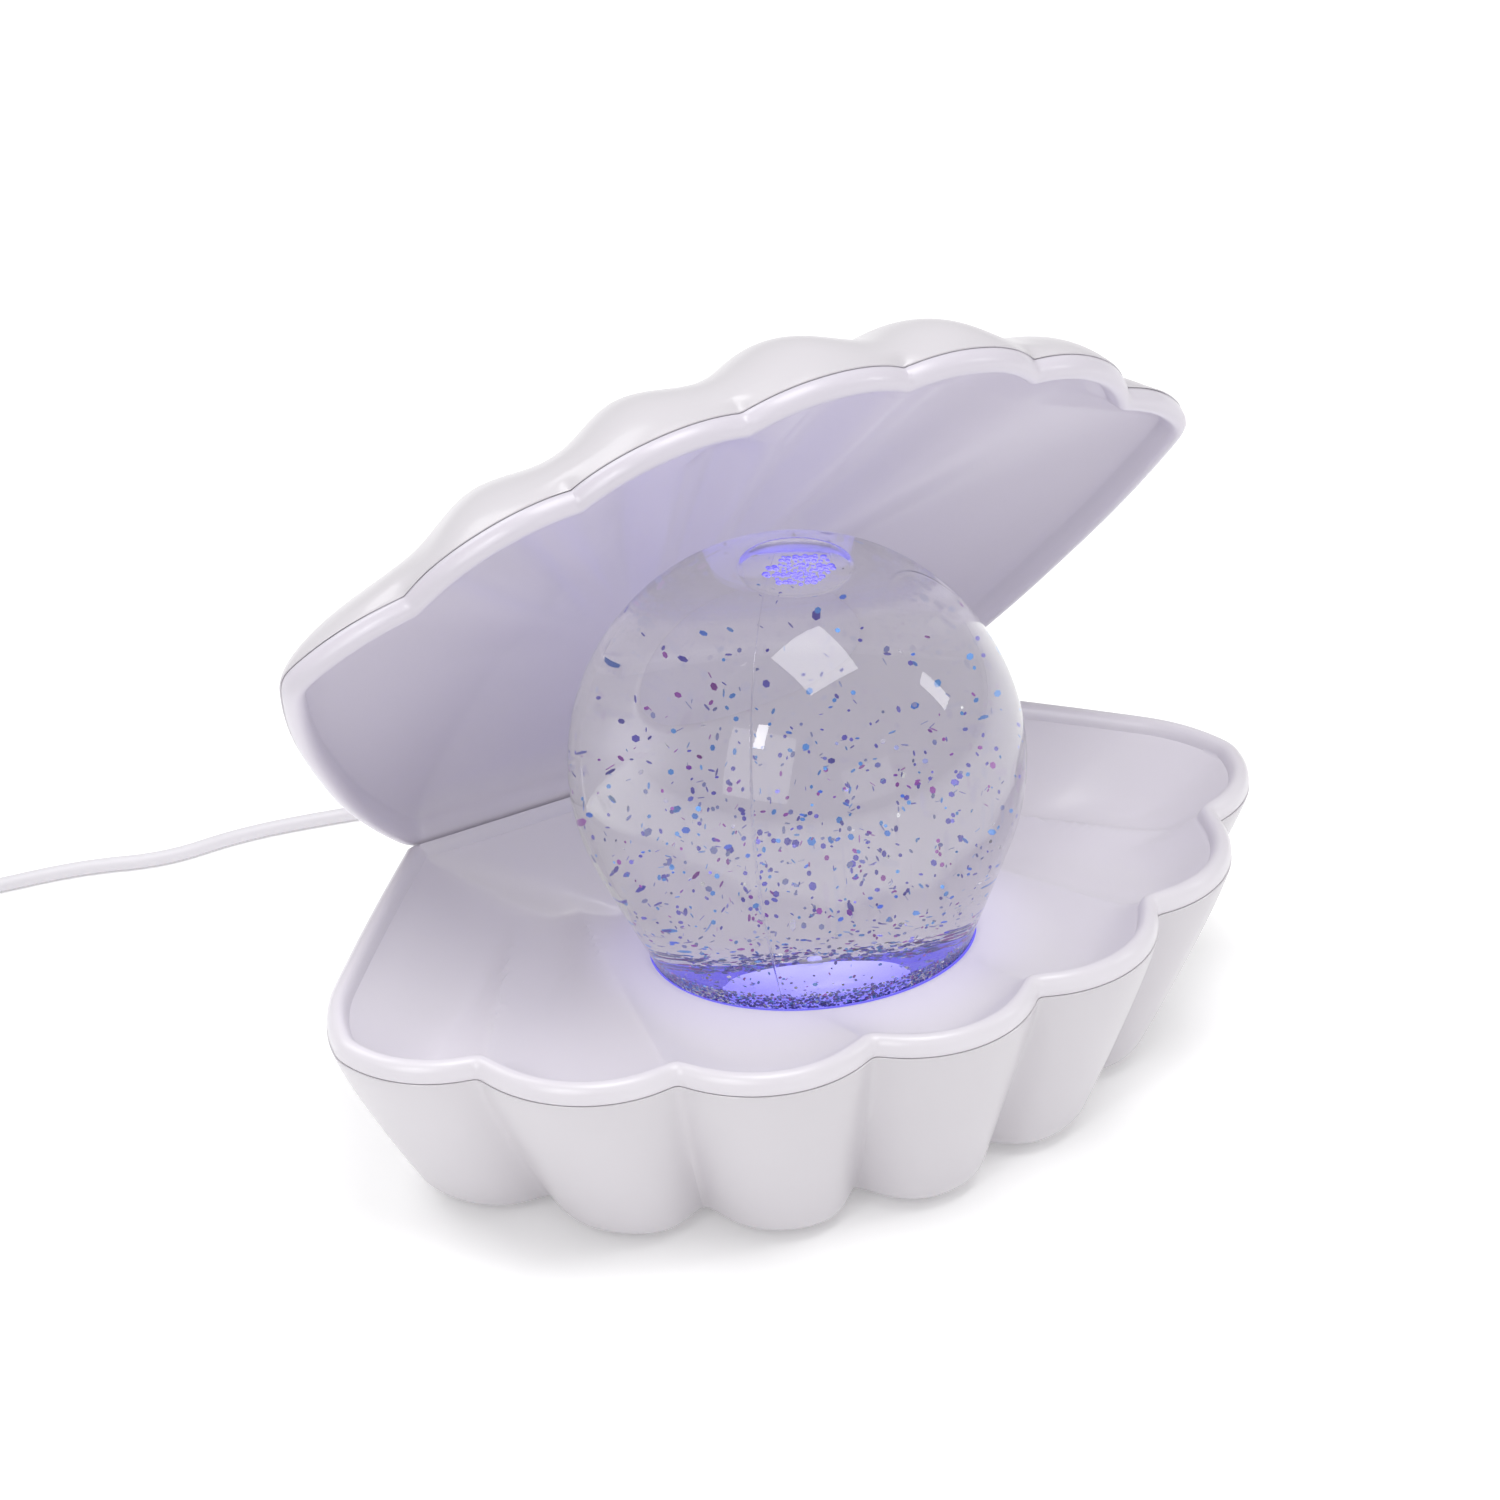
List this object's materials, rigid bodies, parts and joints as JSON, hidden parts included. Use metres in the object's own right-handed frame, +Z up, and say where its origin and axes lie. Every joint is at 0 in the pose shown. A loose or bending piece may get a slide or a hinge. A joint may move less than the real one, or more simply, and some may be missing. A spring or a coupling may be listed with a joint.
{
  "type": "clam shell glitter globe lamp",
  "caption": "Open scallop shell lamp: fluted bowl and raised fluted lid around a clear liquid-filled globe, lit from below and stirred by a hidden magnet drive, with a USB cable.",
  "frame": {"origin": "on the floor under the middle of the lamp's box, the free cable left out", "axes": "+Z up, -Y towards the open front of the shell, +X to the right seen from the front"},
  "size_m": [0.2942, 0.2967, 0.1831],
  "materials": {
    "shell_white": "gloss",
    "tray_white": "gloss",
    "clear_globe": "polished",
    "liquid": "clear",
    "white_inner": "satin",
    "rubber": "matte",
    "screw_steel": "satin",
    "magnet": "polished",
    "motor_steel": "satin",
    "motor_cap": "satin",
    "circuit_board": "satin",
    "led": "gloss",
    "component_black": "satin",
    "switch_white": "satin",
    "lead": "satin",
    "cable_white": "satin",
    "plug_metal": "polished",
    "plug_tongue": "satin"
  },
  "bodies": {
    "base": {"base_shell": "shell_white", "lid_shell": "shell_white", "base_tray": "tray_white", "lid_liner": "tray_white", "globe_half_left": "clear_globe", "globe_half_right": "clear_globe", "globe_liquid": "liquid", "globe_plug": "white_inner", "globe_retainer": "white_inner", "drive_carrier": "white_inner", "plug_seal": "rubber", "globe_gasket": "rubber", "rubber_feet": "rubber", "clamp_screws": "screw_steel", "motor_screws": "screw_steel", "led_board_screws": "screw_steel", "board_screws": "screw_steel", "lid_screws": "screw_steel", "base_screws": "screw_steel", "stirrer_pin": "screw_steel", "pin_clip": "screw_steel", "motor_field_magnet": "magnet", "motor_can": "motor_steel", "motor_end_cap": "motor_cap", "switch_body": "motor_cap", "led_board": "circuit_board", "control_board": "circuit_board", "leds": "led", "board_components": "component_black", "motor_leads": "lead", "strain_relief": "cable_white", "usb_cable": "cable_white", "usb_cable_coil": "cable_white", "usb_cable_tail": "cable_white", "usb_plug_grip": "cable_white", "usb_plug_shell": "plug_metal", "usb_plug_tongue": "plug_tongue"},
    "rotor": {"motor_armature": "motor_steel", "motor_shaft": "screw_steel", "drive_disc": "white_inner", "drive_magnets": "magnet"},
    "stirrer": {"stirrer": "white_inner", "stirrer_magnets": "magnet"},
    "switch": {"switch_knob": "switch_white"}
  },
  "joints": [
    {"name": "motor_spin", "type": "hinge", "parent": "base", "child": "rotor", "pos_m": [0, -0.00205, 0.0821], "axis": [0, 0.1392, 0.9903], "continuous": true},
    {"name": "stirrer_spin", "type": "hinge", "parent": "base", "child": "stirrer", "pos_m": [0, -0.00205, 0.0821], "axis": [0, 0.1392, 0.9903], "continuous": true},
    {"name": "switch_slide", "type": "slide", "parent": "base", "child": "switch", "axis": [-1, 0, 0], "range_m": [0, 0.004]}
  ],
  "couplings": [
    {"joint": "stirrer_spin", "follows": "motor_spin", "ratio": 1}
  ]
}
